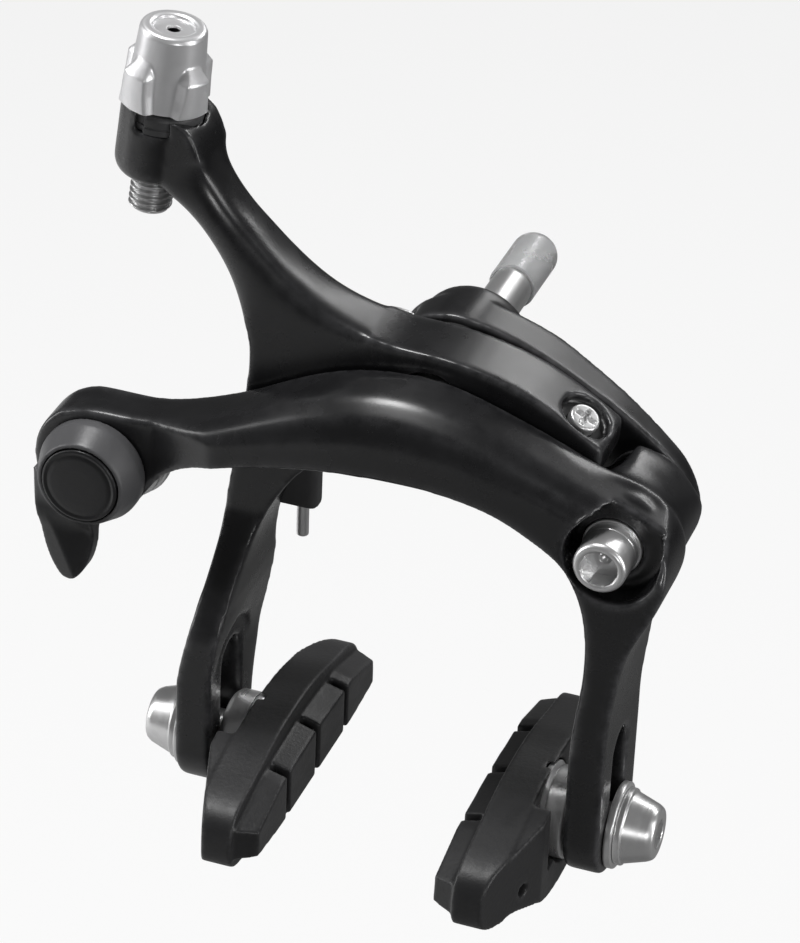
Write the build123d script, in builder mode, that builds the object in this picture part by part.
from build123d import *
import os
from math import sin, cos, radians

# Dual-pivot road rim brake caliper, in millimetres.
# X runs right as seen from the front, Y to the rear (towards the frame), Z up.
# The origin is on the centre bolt's axis, at the bracket's rear mounting face.

os.makedirs("parts", exist_ok=True)

# Layers along Y
FRONT_ARM_FRONT, FRONT_ARM_REAR = -31.5, -21.0
FRONT_ARM_END_FRONT = -28.0           # front face of the front arm's left end
MIDDLE_FRONT, MIDDLE_REAR = -20.5, -10.5
BRACKET_FRONT, BRACKET_REAR = -9.7, -3.2
THRUST_WASHER_REAR = -9.75            # thrust washers lie ahead of the bracket

# Pivots and clearances
BOLT_R = 3.0                          # M6 bolts
BUSH_R = 4.2
RUNNING = 0.05                        # radial clearance of a turning fit
SEATED = 0.02                         # radial clearance of a seated fit
BORE_R = BOLT_R + RUNNING
WASHER_BORE_R = BOLT_R + 0.1
BUSH_SEAT_R = BUSH_R + SEATED
SIDE_X, SIDE_Z = 28.5, -11.8          # side pivot
HUB_X, HUB_Z = -44.9, -16.1           # quick-release shaft
CLAMP_X, CLAMP_Z = HUB_X + 1.3, HUB_Z - 3.3
CENTRE_BOLT_END = 27.0                # nominal rear end of the centre bolt

# Legs and shoe bolts
REACH = 58.0                          # centre bolt down to shoe bolt
SHOE_Y = -23.6                        # shoe bolt along Y
LEG_IN, LEG_OUT = 26.0, 31.2          # faces of each leg, from the middle
LEG_FRONT, LEG_BACK = -32.0, -14.8
LEG_CUT_Z = -68                       # outlines run to here; the foot arc trims them
LEG_FOOT = [(LEG_FRONT, -REACH),      # (Y, Z) of the arc round each leg's foot
            ((LEG_FRONT + LEG_BACK) / 2, -REACH - 7.0),
            (LEG_BACK, -REACH)]
SLOT_TRAVEL, SLOT_W = 13.0, 6.5
SLOT_DROP = 0.5                       # travel left below the shoe bolt
SLOT_CENTRE = (SHOE_Y, -REACH + SLOT_TRAVEL / 2 - SLOT_DROP)
PAD_FACE = 12.7                       # friction face, from the middle

# Cable adjuster: its axis is tilted in the XZ plane
ADJ_ORIGIN = (-40.9, -15.5, 30.0)
ADJ_TILT = radians(6.97)
ADJ_UP = (sin(ADJ_TILT), 0, cos(ADJ_TILT))
ADJ_SIDEWAYS = (cos(ADJ_TILT), 0, -sin(ADJ_TILT))
ADJ_AXIS = Axis(ADJ_ORIGIN, ADJ_UP)
# Section through the axis: x is the radius, y the height along the axis
ADJ_SECTION = Plane(origin=ADJ_ORIGIN, x_dir=ADJ_SIDEWAYS, z_dir=(0, -1, 0))

# Centring screw: top of its head, square to the middle arm's tail
SCREW_TOP = Plane(origin=(20.8, -15.9, 0.75), x_dir=(0.87, 0, -0.49),
                  z_dir=(0.46, -0.22, 0.86))


def adj(height):
    """Plane square to the adjuster axis, at a height above its origin."""
    return Plane(
        origin=(ADJ_ORIGIN[0] + height * ADJ_UP[0], ADJ_ORIGIN[1],
                ADJ_ORIGIN[2] + height * ADJ_UP[2]),
        x_dir=ADJ_SIDEWAYS, z_dir=ADJ_UP)


def face_y(y, x=0, z=0):
    """Plane facing forward at y, centred on (x, z); its own y axis is +Z."""
    return Plane(origin=(x, y, z), x_dir=(1, 0, 0), z_dir=(0, -1, 0))


def face_x(x):
    """Plane facing right at x; its own axes are +Y and +Z."""
    return Plane(origin=(x, 0, 0), x_dir=(0, 1, 0), z_dir=(1, 0, 0))


def hub_face(y):
    return face_y(y, HUB_X, HUB_Z)


def clamp_face(y):
    return face_y(y, CLAMP_X, CLAMP_Z)


def side_face(y):
    return face_y(y, SIDE_X, SIDE_Z)


def save(piece, name):
    piece.label = name
    export_step(piece, "parts/" + name + ".step")


def make_ring(name, plane, outer, inner, thickness):
    """Flat washer or bush, built along the plane's normal."""
    with BuildPart() as ring:
        with BuildSketch(plane):
            Circle(outer)
            Circle(inner, mode=Mode.SUBTRACT)
        extrude(amount=thickness)
    save(ring.part, name)


# ---------------------------------------------------------------------------
# Fixed bracket: boss on the centre bolt, curved plate out to the side pivot
# ---------------------------------------------------------------------------
BRACKET_BOSS_R = 8.2
# (X, Z) along the upper edge, left to right, then back along the lower edge
BRACKET_TOP = [
    (-9.0, 2.5), (-7.6, 5.0), (-4.6, 7.2), (0, 8.0), (5, 7.4), (10, 5.9),
    (15, 3.7), (19, 1.6), (23, -0.6), (28, -4.0), (31.6, -7.0),
    (34.0, -10.6), (35.2, -14.6)]
BRACKET_LOW = [
    (35.2, -14.6), (34.6, -18.0), (31.6, -19.4), (27.4, -18.9),
    (23.2, -16.2), (18.6, -11.4), (13.0, -8.2), (7.0, -6.6), (2.0, -8.2),
    (-3.0, -8.0), (-7.6, -4.4), (-9.0, 2.5)]


def make_bracket():
    thin_rear = -5.9
    cut_rear = BRACKET_REAR + 0.01
    with BuildPart() as bracket:
        with BuildSketch(face_y(BRACKET_REAR)):
            with BuildLine():
                Spline(*BRACKET_TOP)
                Spline(*BRACKET_LOW)
            make_face()
        extrude(amount=BRACKET_REAR - BRACKET_FRONT)
        # rear of the plate thins towards the side pivot
        with BuildSketch(Plane.XY.offset(-30)):
            with BuildLine():
                Polyline((14, cut_rear), (40, cut_rear), (40, thin_rear),
                         (30, thin_rear), (14, cut_rear))
            make_face()
        extrude(amount=60, mode=Mode.SUBTRACT)
        # boss that bears on the frame, carried on through the plate
        with BuildSketch(face_y(0)):
            Circle(BRACKET_BOSS_R)
        extrude(amount=4)
        with BuildSketch(face_y(BRACKET_REAR)):
            Circle(BRACKET_BOSS_R)
        extrude(amount=6.4)
        fillet(bracket.faces().sort_by(Axis.Y)[-1].edges(), 0.8)
        # holes for the centre bolt and the side pivot bolt
        with Locations(face_y(0)):
            Hole(BOLT_R + SEATED)
        with BuildSketch(side_face(1)):
            Circle(BOLT_R + SEATED)
        extrude(amount=12, mode=Mode.SUBTRACT)
        # seat for the return spring's anchored end
        with BuildSketch(Plane(origin=(-4.4, -6.3, 2.4),
                               z_dir=(-0.825, 0, 0.565))):
            Circle(1.35)
        extrude(amount=14, mode=Mode.SUBTRACT)
    save(bracket.part, "bracket")


# ---------------------------------------------------------------------------
# Centre bolt with its washers, nut, bush and end cap
# ---------------------------------------------------------------------------
def make_centre_bolt():
    rear = CENTRE_BOLT_END - 0.2
    front = MIDDLE_FRONT + 0.6
    with BuildPart() as bolt:
        with BuildSketch(face_y(rear)):
            Circle(BOLT_R)
        extrude(amount=rear - front)
        chamfer(bolt.edges(), 0.45)
    save(bolt.part, "centre_bolt")


def make_serrated_washer():
    outer, notches, notch_r = 6.8, 24, 0.35
    with BuildPart() as washer:
        with BuildSketch(face_y(1.6)):
            Circle(outer)
            with PolarLocations(outer, notches):
                Circle(notch_r, mode=Mode.SUBTRACT)
            Circle(WASHER_BORE_R, mode=Mode.SUBTRACT)
        extrude(amount=1.55)
    save(washer.part, "serrated_washer")


def make_bolt_end_cap():
    with BuildPart() as cap:
        with BuildSketch(face_y(CENTRE_BOLT_END + 0.8)):
            Circle(3.4)
        extrude(amount=12.6)
        fillet(cap.faces().sort_by(Axis.Y)[-1].edges(), 2.0)
        with BuildSketch(face_y(CENTRE_BOLT_END - 0.1)):
            Circle(BORE_R)
        extrude(amount=14, mode=Mode.SUBTRACT)
    save(cap.part, "bolt_end_cap")


def make_centre_nut():
    with BuildPart() as nut:
        with BuildSketch(face_y(-17.3)):
            RegularPolygon(4.25, 6)
            Circle(BOLT_R + SEATED, mode=Mode.SUBTRACT)
        extrude(amount=2.9)
    save(nut.part, "centre_nut")


def make_centre_rings():
    # name, rear face, outer radius, bore radius, thickness
    for name, rear, outer, bore, thickness in [
            ("centre_front_washer", -16.55, 4.6, WASHER_BORE_R, 0.7),
            ("centre_bush", -10.55, BUSH_R, BORE_R, 5.9),
            ("centre_thrust_washer", THRUST_WASHER_REAR, 7.2, WASHER_BORE_R, 0.7)]:
        make_ring(name, face_y(rear), outer, bore, thickness)


# ---------------------------------------------------------------------------
# Middle arm: adjuster head, neck, centre boss, right-hand tail, left leg
# ---------------------------------------------------------------------------
# (X, Z) from the adjuster head along the top to the tail's tip
MIDDLE_UPPER = [
    (-37.6, 34.6), (-35.4, 33.7), (-34.1, 32.3), (-33.3, 30.2),
    (-32.6, 28.2), (-31.4, 25.8), (-29.3, 22.7), (-24.8, 18.2),
    (-21.6, 15.3), (-18.7, 13.1), (-15.9, 11.2), (-12.6, 9.7), (-9.0, 8.6),
    (-5, 7.9), (0, 7.7), (5, 7.2), (10, 6.1), (15, 4.3), (20, 1.6),
    (24.6, -1.3)]
# (X, Z) from the tail's tip along the underside and down the leg's inner face
MIDDLE_UNDER = [
    (24.2, -5.7), (18, -5.0), (13, -4.7), (9.0, -5.9), (5, -8.2), (0, -9.0),
    (-6, -9.3), (-12, -11.0), (-16.0, -13.4), (-18.6, -16.0),
    (-20.4, -18.6), (-22.3, -22.0), (-23.8, -26.0), (-24.4, -30.0),
    (-24.6, -34.0), (-25.2, -39.0), (-25.9, -44.0), (-LEG_IN, -48.0)]
# (X, Z) up the leg's outer face to the adjuster head
MIDDLE_OUTER = [
    (-LEG_OUT, -48.0), (-30.9, -44.0), (-29.9, -39.0), (-29.2, -34.0),
    (-29.0, -29.0), (-28.9, -25.2), (-28.6, -21.1), (-28.0, -16.8),
    (-27.2, -11.0), (-26.3, -5.0), (-25.8, -0.4), (-25.8, 3.2),
    (-26.7, 7.0), (-28.2, 10.2), (-30.4, 14.2), (-32.6, 17.4),
    (-35.0, 20.2), (-38.5, 22.6)]
# (Y, Z) down the leg's front edge and up its rear edge
MIDDLE_LEG_FRONT = [
    (MIDDLE_FRONT, -22.5), (-21.6, -25.4), (-26.0, -30.4), (-30.6, -35.4),
    (LEG_FRONT, -40.0)]
MIDDLE_LEG_REAR = [
    (LEG_BACK, -REACH), (-13.9, -52.0), (-11.8, -45.0), (-10.7, -39.0),
    (MIDDLE_REAR, -33.0)]

HEAD_R = 5.65                         # adjuster head
HEAD_TOP, HEAD_BOTTOM = 2.4, -5.8     # along the adjuster axis
HEAD_RECESS_R, HEAD_RECESS_FLOOR = 5.12, 2.35


def make_middle_arm():
    with BuildPart() as arm:
        # full profile seen from the front
        with BuildSketch(face_y(-8)):
            with BuildLine():
                Spline(*MIDDLE_UPPER)
                Line(MIDDLE_UPPER[-1], MIDDLE_UNDER[0])
                Spline(*MIDDLE_UNDER)
                Line(MIDDLE_UNDER[-1], (-LEG_IN, LEG_CUT_Z))
                Line((-LEG_IN, LEG_CUT_Z), (-LEG_OUT, LEG_CUT_Z))
                Line((-LEG_OUT, LEG_CUT_Z), MIDDLE_OUTER[0])
                Spline(*MIDDLE_OUTER)
                Line(MIDDLE_OUTER[-1], MIDDLE_UPPER[0])
            make_face()
        extrude(amount=27)
        # side profile: rear layer above, leg swept forward below
        with BuildSketch(face_x(-60)):
            with BuildLine():
                Polyline((MIDDLE_REAR, 60), (MIDDLE_FRONT, 60),
                         MIDDLE_LEG_FRONT[0])
                Spline(*MIDDLE_LEG_FRONT)
                Polyline(MIDDLE_LEG_FRONT[-1], LEG_FOOT[0])
                ThreePointArc(*LEG_FOOT)
                Spline(*MIDDLE_LEG_REAR)
                Line(MIDDLE_LEG_REAR[-1], (MIDDLE_REAR, 60))
            make_face()
        extrude(amount=100, mode=Mode.INTERSECT)
        # centre boss
        with BuildSketch(face_y(MIDDLE_REAR)):
            Circle(7.5)
        extrude(amount=MIDDLE_REAR - MIDDLE_FRONT)
        # adjuster head
        with BuildSketch(ADJ_SECTION):
            with BuildLine():
                Polyline((0, HEAD_TOP), (0, HEAD_BOTTOM), (3.9, HEAD_BOTTOM))
                ThreePointArc((3.9, HEAD_BOTTOM), (5.15, -5.1), (HEAD_R, -3.6))
                Polyline((HEAD_R, -3.6), (HEAD_R, HEAD_TOP), (0, HEAD_TOP))
            make_face()
        revolve(axis=ADJ_AXIS)
        # rim of the head, open at the front right
        with BuildSketch(adj(2.3)):
            Circle(HEAD_R)
            Circle(HEAD_RECESS_R, mode=Mode.SUBTRACT)
            with BuildLine():
                Polyline((0, 0), (-4.0, -12), (14, -12), (14, 6.5), (0, 0))
            make_face(mode=Mode.SUBTRACT)
        extrude(amount=3.0)
        with BuildSketch(adj(HEAD_RECESS_FLOOR)):
            Circle(HEAD_RECESS_R)
        extrude(amount=12, mode=Mode.SUBTRACT)
        # full-width room for the collar where the rim is open
        with BuildSketch(adj(HEAD_RECESS_FLOOR)):
            Circle(5.7)
            with BuildLine():
                Polyline((0, 0), (-4.0, -12), (-14, -12), (-14, 14), (14, 14),
                         (14, 6.5), (0, 0))
            make_face(mode=Mode.SUBTRACT)
        extrude(amount=12, mode=Mode.SUBTRACT)
        # bore for the adjuster bolt
        with BuildSketch(adj(-10)):
            Circle(BORE_R)
        extrude(amount=20, mode=Mode.SUBTRACT)
        # bush seat, and counterbore for the nut
        with BuildSketch(face_y(-5)):
            Circle(BUSH_SEAT_R)
        extrude(amount=30, mode=Mode.SUBTRACT)
        with BuildSketch(face_y(-16.5)):
            Circle(4.8)
        extrude(amount=10, mode=Mode.SUBTRACT)
        # shoe bolt slot in the leg
        with BuildSketch(face_x(-40)):
            with Locations(SLOT_CENTRE):
                SlotCenterToCenter(SLOT_TRAVEL, SLOT_W, rotation=90)
        extrude(amount=20, mode=Mode.SUBTRACT)
        # flat seat for the washer along the leg's inner face
        with BuildSketch(face_x(-LEG_IN)):
            with Locations(SLOT_CENTRE):
                SlotCenterToCenter(SLOT_TRAVEL, 13.6, rotation=90)
        extrude(amount=4, mode=Mode.SUBTRACT)
        # counterbore and hole for the centring screw
        with BuildSketch(SCREW_TOP.offset(4)):
            Circle(3.75)
        extrude(amount=-5.6, mode=Mode.SUBTRACT)
        with BuildSketch(SCREW_TOP.offset(4)):
            Circle(1.55)
        extrude(amount=-16, mode=Mode.SUBTRACT)
    save(arm.part, "y_arm")


def make_centring_screw():
    head_height = 1.5
    slot_width, slot_length = 0.7, 3.0
    with BuildPart() as screw:
        with BuildSketch(SCREW_TOP.offset(-head_height)):
            Circle(2.15)
        extrude(amount=head_height)
        fillet(screw.faces().filter_by(SCREW_TOP).sort_by(Axis.Z)[-1].edges(), 0.35)
        # cross recess
        with BuildSketch(SCREW_TOP.offset(-0.9)):
            Rectangle(slot_width, slot_length)
            Rectangle(slot_length, slot_width)
        extrude(amount=2, mode=Mode.SUBTRACT)
        # shank
        with BuildSketch(SCREW_TOP.offset(-head_height)):
            Circle(1.5)
        extrude(amount=-5.4)
    save(screw.part, "centring_screw")


# ---------------------------------------------------------------------------
# Cable adjuster: hollow bolt, collar, seal ring and lobed nut
# ---------------------------------------------------------------------------
NUT_BOTTOM, NUT_TOP = 5.5, 16.5       # along the adjuster axis


def make_adjuster_bolt():
    with BuildPart() as bolt:
        with BuildSketch(adj(-11.1)):
            Circle(BOLT_R - 0.02)
            Circle(1.3, mode=Mode.SUBTRACT)
        extrude(amount=24.4)
        # outer edge of the lower end
        lower_end = bolt.faces().filter_by(adj(0)).sort_by(Axis.Z)[0]
        chamfer(lower_end.edges().sort_by(SortBy.LENGTH)[-1], 0.4)
    save(bolt.part, "adjuster_bolt")


def make_adjuster_collar():
    with BuildPart() as collar:
        with BuildSketch(adj(2.45)):
            # full width at the front right, narrower inside the head's rim
            Circle(5.6)
            with BuildLine():
                Polyline((0, 0), (-1.25, -11.9), (-14, -12), (-14, 14),
                         (14, 14), (12.98, 5.24), (0, 0))
            make_face(mode=Mode.SUBTRACT)
            Circle(5.02)
            Circle(BOLT_R + 0.12, mode=Mode.SUBTRACT)
        extrude(amount=2.75)
    save(collar.part, "adjuster_collar")


def make_adjuster_seal_ring():
    with BuildPart() as ring:
        with BuildSketch(ADJ_SECTION):
            with Locations((4.2, 5.56)):
                Circle(0.34)
        revolve(axis=ADJ_AXIS)
    save(ring.part, "adjuster_seal_ring")


def make_adjuster_nut():
    with BuildPart() as nut:
        # slightly tapered body on a skirt with four lobes
        with BuildSketch(adj(NUT_BOTTOM)):
            Circle(5.3)
        with BuildSketch(adj(NUT_TOP)):
            Circle(4.4)
        loft()
        with BuildSketch(adj(NUT_BOTTOM)):
            with PolarLocations(3.7, 4, start_angle=-27):
                Circle(2.75)
        extrude(amount=5.4)
        chamfer(nut.faces().filter_by(adj(0)).sort_by(Axis.Z)[-1].edges(), 0.5)
        # start height, radius and depth of the bolt's bore, the seal ring's
        # room, the cable seat and the cable hole
        for start, radius, depth in [(5, BORE_R, 8.6), (5, 4.65, 1.5),
                                     (15.8, 2.75, 4), (12, 1.0, 8)]:
            with BuildSketch(adj(start)):
                Circle(radius)
            extrude(amount=depth, mode=Mode.SUBTRACT)
    save(nut.part, "adjuster_nut")


# ---------------------------------------------------------------------------
# Front arm: quick-release end, crowned beam, side pivot, right leg
# ---------------------------------------------------------------------------
LEFT_END_X, LEFT_END_Z, LEFT_END_R = -45.2, -16.0, 8.9
# (X, Z) along the top, left to right, and down the leg's outer face
FRONT_UPPER = [
    (-45.2, -7.1), (-41.0, -7.15), (-37.5, -7.0), (-33.0, -5.9),
    (-28.5, -4.2), (-23.5, -2.0), (-19.2, 0.3), (-14.9, 2.3), (-10.7, 3.8),
    (-6.5, 4.7), (-2.2, 5.1), (2.0, 5.0), (6.2, 4.2), (10.5, 2.9),
    (14.8, 1.4), (19.1, -0.3), (22.6, -1.8), (26.0, -3.0), (30.0, -4.0),
    (33.6, -5.6), (36.2, -8.4), (37.4, -12.0), (37.0, -15.6),
    (35.6, -19.4), (33.9, -23.0), (32.6, -27.0), (31.8, -32.0),
    (31.3, -37.0), (LEG_OUT, -43.0)]
# (X, Z) up the leg's inner face and along the underside, right to left
FRONT_UNDER = [
    (LEG_IN, -43.0), (26.3, -38.0), (26.9, -32.0), (27.1, -27.0),
    (26.7, -22.3), (25.8, -18.6), (24.6, -15.8), (23.1, -13.6),
    (21.2, -12.1), (17.3, -10.0), (13.0, -8.2), (8.0, -7.1), (3.0, -6.6),
    (-2.0, -6.6), (-8.0, -6.9), (-14.0, -7.6), (-20.0, -8.8),
    (-26.0, -10.4), (-31.0, -12.4), (-35.0, -15.4), (-38.0, -19.4),
    (-41.4, -23.9)]
# (Y, Z) up the rear of the leg into the beam
FRONT_LEG_REAR = [
    (-15.0, -34.0), (-16.2, -27.0), (-19.2, -21.0), (FRONT_ARM_REAR, -16.5)]
# (X, Z) round the right end where it reaches back to the bracket
RIGHT_END = [
    (26.4, -3.9), (30.0, -4.8), (33.1, -6.4), (35.3, -9.0), (36.5, -12.2),
    (36.1, -15.3), (34.4, -18.4)]
# X of the station, height of the upper edge there, depth of the crown
CROWN = [
    (-50, -8.6, 0.8), (-40, -7.2, 1.2), (-33, -5.9, 1.7), (-26, -3.1, 3.0),
    (-19.2, 0.3, 4.8), (-10.7, 3.8, 6.2), (0, 5.1, 6.3), (10.5, 2.9, 5.0),
    (19.1, -0.3, 3.9), (26, -3.0, 3.9), (32, -5.4, 4.6), (39, -9.8, 5.4)]


def make_front_arm():
    boss_rear = MIDDLE_REAR + 0.05
    with BuildPart() as arm:
        # full profile seen from the front
        with BuildSketch(face_y(-15)):
            with BuildLine():
                Spline(*FRONT_UPPER)
                Line(FRONT_UPPER[-1], (LEG_OUT, LEG_CUT_Z))
                Line((LEG_OUT, LEG_CUT_Z), (LEG_IN, LEG_CUT_Z))
                Line((LEG_IN, LEG_CUT_Z), FRONT_UNDER[0])
                Spline(*FRONT_UNDER)
                ThreePointArc(FRONT_UNDER[-1],
                              (LEFT_END_X - LEFT_END_R, LEFT_END_Z),
                              FRONT_UPPER[0])
            make_face()
        extrude(amount=18)
        # side profile: beam layer above, leg widened to the rear below
        with BuildSketch(face_x(-60)):
            with BuildLine():
                Polyline((FRONT_ARM_REAR, 20), (FRONT_ARM_FRONT, 20),
                         (FRONT_ARM_FRONT, -30), (LEG_FRONT, -42), LEG_FOOT[0])
                ThreePointArc(*LEG_FOOT)
                Line(LEG_FOOT[-1], FRONT_LEG_REAR[0])
                Spline(*FRONT_LEG_REAR)
                Line(FRONT_LEG_REAR[-1], (FRONT_ARM_REAR, 20))
            make_face()
        extrude(amount=120, mode=Mode.INTERSECT)
        # everything left of the leg stays in the front layer
        with BuildSketch(Plane.XY.offset(-60)):
            with Locations((-20, FRONT_ARM_REAR + 10)):
                Rectangle(84, 20)
        extrude(amount=80, mode=Mode.SUBTRACT)
        # the left end is thinner than the beam
        with BuildSketch(Plane.XY.offset(-40)):
            with BuildLine():
                Polyline((-60, FRONT_ARM_FRONT - 2), (-27, FRONT_ARM_FRONT - 2),
                         (-27, FRONT_ARM_FRONT + 0.01),
                         (-36.5, FRONT_ARM_END_FRONT),
                         (-60, FRONT_ARM_END_FRONT), (-60, FRONT_ARM_FRONT - 2))
            make_face()
        extrude(amount=60, mode=Mode.SUBTRACT)
        # sloping crown: cuts down the upper edge towards the front
        for x, top, depth in CROWN:
            with BuildSketch(face_x(x)):
                with BuildLine():
                    Polyline((-36, top - depth), (FRONT_ARM_FRONT, top - depth),
                             (-30.3, top - 0.48 * depth),
                             (-27.6, top - 0.17 * depth), (-23.0, top),
                             (-21.0, top + 0.6), (-21.0, top + 9),
                             (-36, top + 9), (-36, top - depth))
                make_face()
        loft(ruled=False, mode=Mode.SUBTRACT)
        # two bosses round the side pivot, standing out behind the beam
        with BuildSketch(side_face(-16.4)):
            Circle(7.4)
        extrude(amount=8)
        with BuildSketch(side_face(boss_rear)):
            Circle(6.0)
        extrude(amount=8)
        # the arm's right end reaches back to the bracket
        with BuildSketch(face_y(boss_rear)):
            with BuildLine():
                Spline(*RIGHT_END)
                Line(RIGHT_END[-1], (28.5, -17.0))
                Line((28.5, -17.0), RIGHT_END[0])
            make_face()
        extrude(amount=11.5)
        # lug the centring screw bears on
        with BuildSketch(face_y(-13)):
            with BuildLine():
                Polyline((13.2, -6.5), (22.6, -6.5), (24.5, -12.0),
                         (20.0, -11.2), (14.2, -8.6), (13.2, -6.5))
            make_face()
        extrude(amount=10)
        # pocket for the pivot bolt's head, and the bush seat
        with BuildSketch(face_y(-26.4, SIDE_X + 1.2, SIDE_Z + 0.9)):
            Circle(6.5)
        extrude(amount=10, mode=Mode.SUBTRACT)
        with BuildSketch(side_face(-5)):
            Circle(BUSH_SEAT_R)
        extrude(amount=30, mode=Mode.SUBTRACT)
        # bore for the quick-release shaft
        with BuildSketch(hub_face(-15)):
            Circle(SHAFT_R + RUNNING)
        extrude(amount=20, mode=Mode.SUBTRACT)
        # shoe bolt slot in the leg
        with BuildSketch(face_x(20)):
            with Locations(SLOT_CENTRE):
                SlotCenterToCenter(SLOT_TRAVEL, SLOT_W, rotation=90)
        extrude(amount=20, mode=Mode.SUBTRACT)
        # flat seat for the washer along the leg's outer face
        with BuildSketch(face_x(LEG_OUT)):
            with Locations(SLOT_CENTRE):
                SlotCenterToCenter(SLOT_TRAVEL, 13.0, rotation=90)
        extrude(amount=4, mode=Mode.SUBTRACT)
    save(arm.part, "c_arm")


# ---------------------------------------------------------------------------
# Side pivot: bolt, bush, washers
# ---------------------------------------------------------------------------
SOCKET_R = 2.5                        # hex socket, centre to flat


def make_side_pivot_bolt():
    with BuildPart() as bolt:
        # rear face, radius and length of the shank, flange and head
        for rear, radius, length in [(-6.3, BOLT_R, 20.2), (-26.45, 3.85, 1.5),
                                     (-27.9, 3.75, 4.4)]:
            with BuildSketch(side_face(rear)):
                Circle(radius)
            extrude(amount=length)
        chamfer(bolt.faces().sort_by(Axis.Y)[0].edges(), 0.45)
        with BuildSketch(side_face(-29.3)):
            RegularPolygon(SOCKET_R, 6, major_radius=False)
        extrude(amount=6, mode=Mode.SUBTRACT)
        # neck that carries the shank into the flange
        with BuildSketch(side_face(-25.5)):
            Circle(BOLT_R)
        extrude(amount=1.2)
    save(bolt.part, "side_pivot_bolt")


def make_side_rings():
    # name, rear face, outer radius, bore radius, thickness
    for name, rear, outer, bore, thickness in [
            ("side_bush", MIDDLE_REAR, BUSH_R, BORE_R, 15.2),
            ("side_head_washer", -25.75, 4.15, WASHER_BORE_R, 0.65),
            ("side_thrust_washer", THRUST_WASHER_REAR, 5.8, WASHER_BORE_R, 0.65)]:
        make_ring(name, side_face(rear), outer, bore, thickness)


# ---------------------------------------------------------------------------
# Return spring from the bracket to the middle arm's leg, and its sleeve
# ---------------------------------------------------------------------------
WIRE_R = 0.9
WIRE_END_X, WIRE_END_Y = -21.35, -8.8  # the wire's straight lower run
# (X, Y, Z) along the wire, from the bracket down
WIRE_PATH = [
    (-4.6, -6.3, 2.6), (-7.8, -6.3, 4.4), (-11.4, -6.1, 4.3),
    (-14.4, -5.9, 0.5), (-16.8, -6.0, -6.5), (-19.4, -7.0, -14.0),
    (-20.9, -8.3, -20.0), (WIRE_END_X, WIRE_END_Y, -26.0),
    (WIRE_END_X, WIRE_END_Y, -32.4)]


def make_return_spring():
    with BuildPart() as spring:
        with BuildLine() as path:
            Spline(*WIRE_PATH)
        with BuildSketch(Plane(origin=path.wire() @ 0, z_dir=path.wire() % 0)):
            Circle(WIRE_R)
        sweep()
    save(spring.part, "return_spring")


def make_spring_sleeve():
    # block behind the leg, with a round channel for the wire
    with BuildPart() as sleeve:
        with BuildSketch(Plane.XY.offset(-27.0)):
            with Locations((-22.2, -8.7)):
                Rectangle(6.4, 3.5)
        extrude(amount=6.6)
        fillet(sleeve.edges().filter_by(Axis.Z), 0.9)
        with BuildSketch(Plane.XY.offset(-28)):
            with Locations((WIRE_END_X, WIRE_END_Y)):
                Circle(1.45)
        extrude(amount=10, mode=Mode.SUBTRACT)
    save(sleeve.part, "spring_sleeve")


# ---------------------------------------------------------------------------
# Quick release: lever with hub, cap, shaft, cable clamp
# ---------------------------------------------------------------------------
SHAFT_R, SPIGOT_R = 4.0, 2.5
LEVER_HUB_R = 7.6
CLAMP_BOLT_R = 2.5
# (X, Z) from the hub's centre, down the blade's left edge and up its right
BLADE_LEFT = [(-7.3, 0.5), (-7.2, -4.0), (-6.5, -10.2), (-5.4, -14.2),
              (-4.1, -16.3)]
BLADE_RIGHT = [(-4.1, -16.3), (-2.9, -16.9), (-1.5, -16.4), (0.3, -13.4),
               (0.9, -9.0), (1.0, -4.0)]


def make_quick_release_lever():
    with BuildPart() as lever:
        # hub, straight and then tapering forward
        with BuildSketch(hub_face(-28.15)):
            Circle(LEVER_HUB_R)
        extrude(amount=1.6)
        with BuildSketch(hub_face(-29.75)):
            Circle(LEVER_HUB_R)
        with BuildSketch(hub_face(-33.4)):
            Circle(6.2)
        loft()
        # blade hanging from the hub's left side
        with BuildSketch(hub_face(-28.6)):
            with BuildLine():
                Spline(*BLADE_LEFT)
                Spline(*BLADE_RIGHT)
                Line(BLADE_RIGHT[-1], BLADE_LEFT[0])
            make_face()
        extrude(amount=3.9)
        # recess for the cap, and the shaft's hole
        with BuildSketch(hub_face(-32.2)):
            Circle(5.65)
        extrude(amount=3, mode=Mode.SUBTRACT)
        with BuildSketch(hub_face(-20)):
            Circle(SPIGOT_R + RUNNING)
        extrude(amount=20, mode=Mode.SUBTRACT)
    save(lever.part, "quick_release_lever")


def make_quick_release_cap():
    with BuildPart() as cap:
        with BuildSketch(hub_face(-32.9)):
            Circle(5.5)
        extrude(amount=0.95)
        fillet(cap.faces().sort_by(Axis.Y)[0].edges(), 0.3)
    save(cap.part, "quick_release_cap")


def make_quick_release_shaft():
    plate_r = 5.4
    with BuildPart() as shaft:
        with BuildSketch(hub_face(-20.6)):
            Circle(SHAFT_R)
        extrude(amount=7.45)
        with BuildSketch(hub_face(-28.0)):
            Circle(SPIGOT_R)
        extrude(amount=4.15)
        # rear plate that carries the cable clamp off the shaft's axis
        with BuildSketch(face_y(-18.9)):
            with Locations((HUB_X, HUB_Z)):
                Circle(plate_r)
            with Locations((CLAMP_X, CLAMP_Z)):
                Circle(plate_r)
            make_hull()
        extrude(amount=1.75)
        with BuildSketch(clamp_face(-18)):
            Circle(CLAMP_BOLT_R + SEATED)
        extrude(amount=2.6, mode=Mode.SUBTRACT)
    save(shaft.part, "quick_release_shaft")


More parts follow.
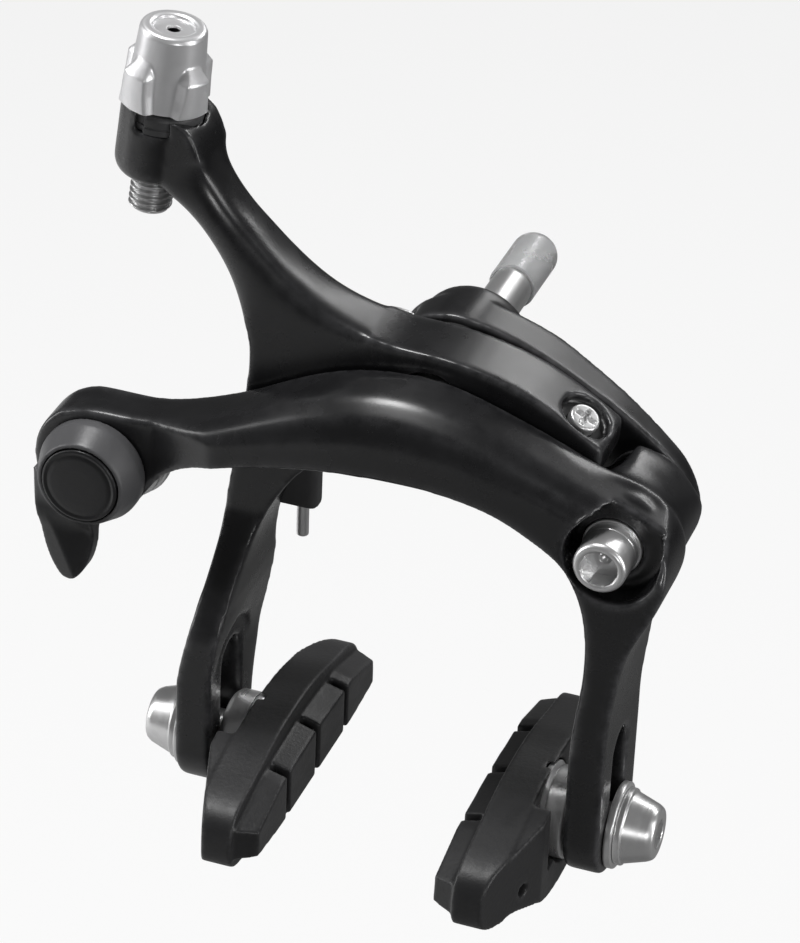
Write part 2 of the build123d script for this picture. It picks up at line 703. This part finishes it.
def make_cable_clamp_washer():
    with BuildPart() as washer:
        with BuildSketch(clamp_face(-17.35)):
            Circle(5.9)
            Circle(CLAMP_BOLT_R + 0.1, mode=Mode.SUBTRACT)
        extrude(amount=1.4)
        # upright groove the cable lies in, across the front face
        with BuildSketch(Plane.XY.offset(-30)):
            with Locations((CLAMP_X - 3.7, -18.8)):
                Circle(0.6)
        extrude(amount=30, mode=Mode.SUBTRACT)
    save(washer.part, "cable_clamp_washer")


def make_cable_clamp_bolt():
    head_rear, head_height = -13.3, 4.0
    with BuildPart() as bolt:
        with BuildSketch(clamp_face(head_rear - head_height)):
            Circle(CLAMP_BOLT_R)
        extrude(amount=3.2)
        with BuildSketch(clamp_face(head_rear)):
            Circle(4.3)
        extrude(amount=head_height)
        fillet(bolt.faces().sort_by(Axis.Y)[-1].edges(), 0.8)
        with BuildSketch(clamp_face(-13)):
            RegularPolygon(SOCKET_R, 6, major_radius=False)
        extrude(amount=2.6, mode=Mode.SUBTRACT)
    save(bolt.part, "cable_clamp_bolt")


# ---------------------------------------------------------------------------
# Shoes and their hardware; side is -1 on the left and +1 on the right
# ---------------------------------------------------------------------------
# Outlines seen square to the friction face: (along the shoe, height),
# measured from the shoe bolt
BACK_TOP = [
    (-25.3, -1.0), (-24.0, 2.6), (-17.0, 4.9), (-8.0, 6.7), (0, 7.2),
    (8.0, 6.7), (17.0, 4.9), (24.0, 2.6), (25.3, -1.0)]
BACK_LOW = [
    (25.3, -1.0), (24.2, -4.4), (17.0, -6.0), (9.0, -8.6), (0, -9.8),
    (-9.0, -8.6), (-17.0, -6.0), (-24.2, -4.4), (-25.3, -1.0)]
BLOCK_ROOT = [
    (-24.6, -3.0), (-24.2, 1.8), (-14, 4.4), (0, 5.2), (14, 4.4),
    (24.2, 1.8), (24.6, -3.0), (14, -4.2), (-14, -4.2), (-24.6, -3.0)]
BLOCK_FACE = [
    (-23.0, -2.6), (-22.8, 1.4), (-14, 3.6), (0, 4.2), (14, 3.6),
    (22.8, 1.4), (23.0, -2.6), (14, -3.4), (-14, -3.4), (-23.0, -2.6)]
LIP_LOW = [(-13.5, -6.6), (-9.0, -8.7), (0, -9.8), (9.0, -8.7), (13.5, -6.6)]
LIP_TOP = [(13.5, -6.6), (9.5, -4.4), (0, -3.6), (-9.5, -4.4), (-13.5, -6.6)]
# (distance ahead of the shoe bolt, height)
FRONT_END = [
    (8.6, 6.4), (17.0, 4.7), (23.6, 2.5), (25.0, -1.0), (24.0, -4.2),
    (17.0, -5.8), (8.6, -8.5), (8.6, 6.4)]
# Cuts seen from above: (outwards from the friction face, rearwards from the
# shoe bolt)
FRONT_CUT = [(11.9, -11.2), (7.3, -26.0), (14, -26.0), (14, -11.2), (11.9, -11.2)]
REAR_CUT_CURVE = [(9.4, 13.7), (8.3, 19.0), (6.5, 23.2), (4.8, 26.0)]
REAR_CUT_CORNERS = [(13, 26.0), (13, 13.7)]

GROOVE_PITCH = 11.4
STUD_PLATE = (24.0, 6.5)              # along the shoe, height
SOCKET_GAP = 0.1                      # the plate's socket is this much larger
RECESS_R = 7.15                       # round recess for the washers
SHOE_AXIS = Axis((0, SHOE_Y, -REACH), (1, 0, 0))


def side_plane(side, distance):
    """Plane at a distance from the middle, facing outwards, its y axis +Z."""
    return Plane(origin=(side * distance, SHOE_Y, -REACH),
                 x_dir=(0, side, 0), z_dir=(side, 0, 0))


def shoe_section(side):
    """Plane along the shoe bolt: x is the distance outwards, y the radius."""
    return Plane(origin=(0, SHOE_Y, -REACH), x_dir=(side, 0, 0), z_dir=(0, -1, 0))


def from_above(side, points):
    """Global (X, Y) of points given from the friction face and shoe bolt."""
    return [(side * (PAD_FACE + out), SHOE_Y + rearwards)
            for out, rearwards in points]


def make_brake_shoe(side, prefix):
    below_shoe = Plane.XY.offset(-REACH - 14)
    with BuildPart() as shoe:
        # moulded back that swells above and below the stud
        with BuildSketch(side_plane(side, PAD_FACE + 3.2)):
            with BuildLine():
                Spline(*BACK_TOP)
                Spline(*BACK_LOW)
            make_face()
        extrude(amount=6.0)
        # friction block, narrowing towards its face
        with BuildSketch(side_plane(side, PAD_FACE + 3.3)):
            with BuildLine():
                Polyline(*BLOCK_ROOT)
            make_face()
        with BuildSketch(side_plane(side, PAD_FACE)):
            with BuildLine():
                Polyline(*BLOCK_FACE)
            make_face()
        loft()
        # three upright grooves across the friction block
        with BuildSketch(Plane.XY.offset(-REACH - 10)):
            with Locations(*from_above(side, [(1.2, -GROOVE_PITCH), (1.2, 0),
                                              (1.2, GROOVE_PITCH)])):
                Rectangle(3.4, 1.3)
        extrude(amount=20, mode=Mode.SUBTRACT)
        # socket moulded around the stud's plate, and its round opening
        with BuildSketch(side_plane(side, PAD_FACE + 5.7)):
            Rectangle(STUD_PLATE[0] + SOCKET_GAP, STUD_PLATE[1] + SOCKET_GAP)
        extrude(amount=1.6, mode=Mode.SUBTRACT)
        with BuildSketch(side_plane(side, PAD_FACE + 5.7)):
            Circle(4.6)
        extrude(amount=6, mode=Mode.SUBTRACT)
        # lip that stands out below the washers
        with BuildSketch(side_plane(side, PAD_FACE + 8.6)):
            with BuildLine():
                Spline(*LIP_LOW)
                Spline(*LIP_TOP)
            make_face()
        extrude(amount=3.2)
        with BuildSketch(side_plane(side, PAD_FACE + 8.0)):
            Circle(RECESS_R)
        extrude(amount=6, mode=Mode.SUBTRACT)
        # front end thickens towards the washers and is cut off aslant
        with BuildSketch(side_plane(side, PAD_FACE + 9.0)):
            with BuildLine():
                Polyline(*[(-side * ahead, z) for ahead, z in FRONT_END])
            make_face()
        extrude(amount=2.8)
        with BuildSketch(below_shoe):
            with BuildLine():
                Polyline(*from_above(side, FRONT_CUT))
            make_face()
        extrude(amount=28, mode=Mode.SUBTRACT)
        # rear end thins to its tip
        with BuildSketch(below_shoe):
            with BuildLine():
                curve = Spline(*from_above(side, REAR_CUT_CURVE))
                Polyline(curve @ 1, *from_above(side, REAR_CUT_CORNERS), curve @ 0)
            make_face()
        extrude(amount=28, mode=Mode.SUBTRACT)
        # keeps the washers' recess clear of what was added since
        with BuildSketch(side_plane(side, PAD_FACE + 8.0)):
            Circle(RECESS_R)
        extrude(amount=6, mode=Mode.SUBTRACT)
        # small hole low on the back, towards the front
        with BuildSketch(side_plane(side, PAD_FACE + 7.2)):
            with Locations((-side * 15.6, -2.9)):
                Circle(0.95)
        extrude(amount=6, mode=Mode.SUBTRACT)
    save(shoe.part, prefix + "_brake_shoe")


def make_shoe_stud(side, prefix):
    with BuildPart() as stud:
        # plate held in the shoe, round shoulder, shank
        with BuildSketch(side_plane(side, PAD_FACE + 5.75)):
            Rectangle(*STUD_PLATE)
        extrude(amount=1.5)
        with BuildSketch(side_plane(side, PAD_FACE + 7.2)):
            Circle(4.4)
        extrude(amount=1.0)
        with BuildSketch(side_plane(side, PAD_FACE + 8.1)):
            Circle(BOLT_R - 0.1)
        extrude(amount=12.4)
    save(stud.part, prefix + "_shoe_stud")


def make_domed_washer(side, prefix):
    # sits against the shoe, domed outwards
    back, rim_r = PAD_FACE + 8.25, 6.9
    with BuildPart() as washer:
        with BuildSketch(shoe_section(side)):
            with BuildLine():
                base = Line((back, BORE_R), (back, rim_r))
                rim = Line(base @ 1, (PAD_FACE + 9.15, rim_r))
                dome = ThreePointArc(rim @ 1, (PAD_FACE + 10.495, 5.2),
                                     (PAD_FACE + 11.5, BORE_R))
                Line(dome @ 1, base @ 0)
            make_face()
        revolve(axis=SHOE_AXIS)
    save(washer.part, prefix + "_domed_washer")


def make_dished_washer(side, prefix):
    # sits between the domed washer and the leg's inner face
    back, bore_r, rim_r = LEG_IN - 0.05, 3.4, 6.45
    rim_start = PAD_FACE + 9.769
    with BuildPart() as washer:
        with BuildSketch(shoe_section(side)):
            with BuildLine():
                dish = ThreePointArc((rim_start, 6.4), (PAD_FACE + 10.813, 4.9),
                                     (PAD_FACE + 11.506, bore_r))
                bore = Line(dish @ 1, (back, bore_r))
                base = Line(bore @ 1, (back, rim_r))
                rim = Line(base @ 1, (rim_start, rim_r))
                Line(rim @ 1, dish @ 0)
            make_face()
        revolve(axis=SHOE_AXIS)
    save(washer.part, prefix + "_dished_washer")


def make_shoe_nut(side, prefix):
    with BuildPart() as nut:
        # flange, then a cone narrowing outwards
        with BuildSketch(side_plane(side, LEG_OUT + 1.2)):
            Circle(5.5)
        extrude(amount=0.9)
        with BuildSketch(side_plane(side, LEG_OUT + 2.1)):
            Circle(5.1)
        with BuildSketch(side_plane(side, LEG_OUT + 6.4)):
            Circle(3.7)
        loft()
        outermost = -1 if side > 0 else 0
        fillet(nut.faces().sort_by(Axis.X)[outermost].edges(), 0.4)
        # bore for the stud, and hex socket
        with BuildSketch(side_plane(side, LEG_OUT - 1)):
            Circle(BOLT_R)
        extrude(amount=4.0, mode=Mode.SUBTRACT)
        with BuildSketch(side_plane(side, LEG_OUT + 3.6)):
            RegularPolygon(2.0, 6, major_radius=False)
        extrude(amount=6, mode=Mode.SUBTRACT)
    save(nut.part, prefix + "_shoe_nut")


make_bracket()

make_centre_bolt()
make_serrated_washer()
make_bolt_end_cap()
make_centre_nut()
make_centre_rings()

make_middle_arm()
make_centring_screw()

make_adjuster_bolt()
make_adjuster_collar()
make_adjuster_seal_ring()
make_adjuster_nut()

make_front_arm()
make_side_pivot_bolt()
make_side_rings()

make_return_spring()
make_spring_sleeve()

make_quick_release_lever()
make_quick_release_cap()
make_quick_release_shaft()
make_cable_clamp_washer()
make_cable_clamp_bolt()

for side, prefix in ((-1, "left"), (1, "right")):
    make_brake_shoe(side, prefix)
    make_shoe_stud(side, prefix)
    make_domed_washer(side, prefix)
    make_dished_washer(side, prefix)
    make_ring(prefix + "_outer_washer", side_plane(side, LEG_OUT + 0.05),
              outer=6.2, inner=BOLT_R + 0.15, thickness=1.1)
    make_shoe_nut(side, prefix)
